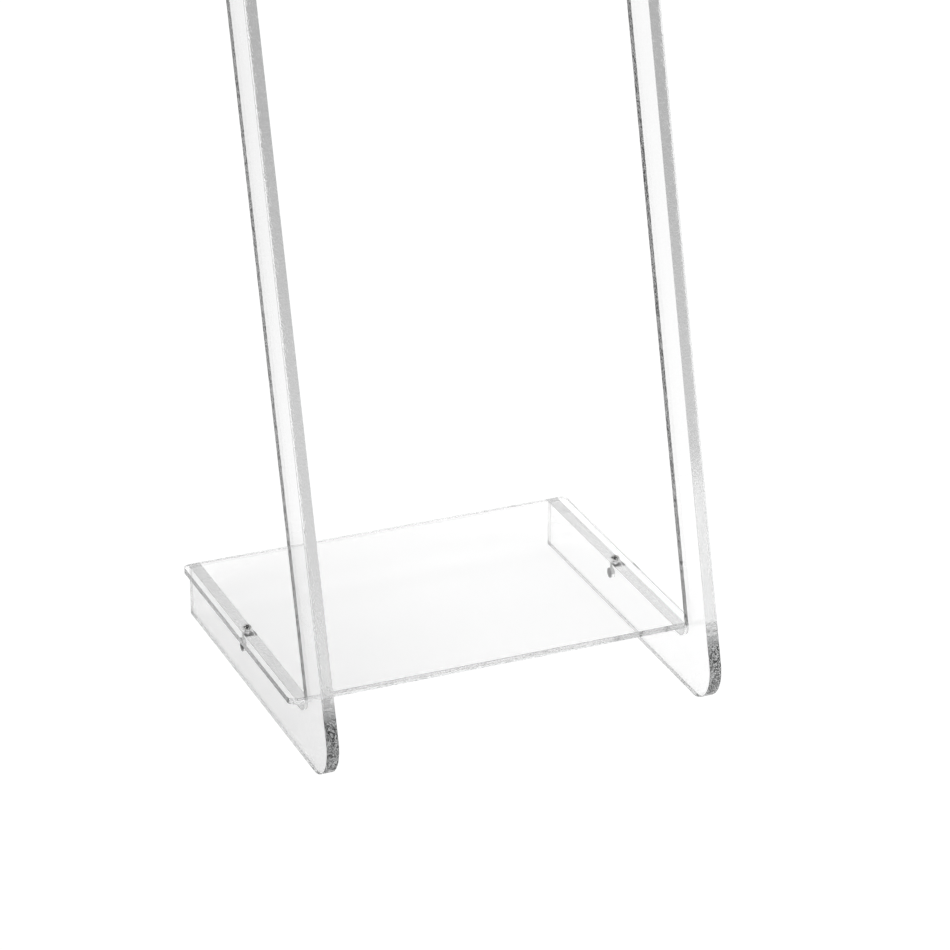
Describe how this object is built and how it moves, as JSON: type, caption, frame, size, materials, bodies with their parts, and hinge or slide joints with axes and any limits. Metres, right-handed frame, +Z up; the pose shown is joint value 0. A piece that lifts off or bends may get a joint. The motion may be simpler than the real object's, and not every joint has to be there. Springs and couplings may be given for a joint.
{
  "type": "floor lectern",
  "caption": "Free-standing clear acrylic lectern: two leaning Z-shaped side frames, a base shelf on the feet and a sloping lipped desk.",
  "frame": {"origin": "on the floor, at the centre of the object's width and depth", "axes": "+Z up, +X to the reader's right, the reader stands at -Y and the posts lean towards +Y"},
  "size_m": [0.34, 0.3338, 1.1349],
  "materials": {
    "acrylic_frame": "water-clear cast acrylic sheet, polished faces, cut edges left slightly rough",
    "acrylic_plate": "water-clear thin acrylic sheet, polished faces and edges",
    "steel_bolt": "turned stainless steel, bright",
    "steel_nut": "turned stainless steel, dull"
  },
  "bodies": {
    "root": {"side_frame_left": "acrylic_frame", "side_frame_right": "acrylic_frame", "base_shelf": "acrylic_plate", "desk_plate": "acrylic_plate", "desk_lip": "acrylic_plate", "base_bolt_left": "steel_bolt", "base_bolt_right": "steel_bolt", "desk_bolt_left": "steel_bolt", "desk_bolt_right": "steel_bolt", "base_barrel_nut_left": "steel_nut", "base_barrel_nut_right": "steel_nut", "desk_barrel_nut_left": "steel_nut", "desk_barrel_nut_right": "steel_nut"}
  },
  "joints": []
}
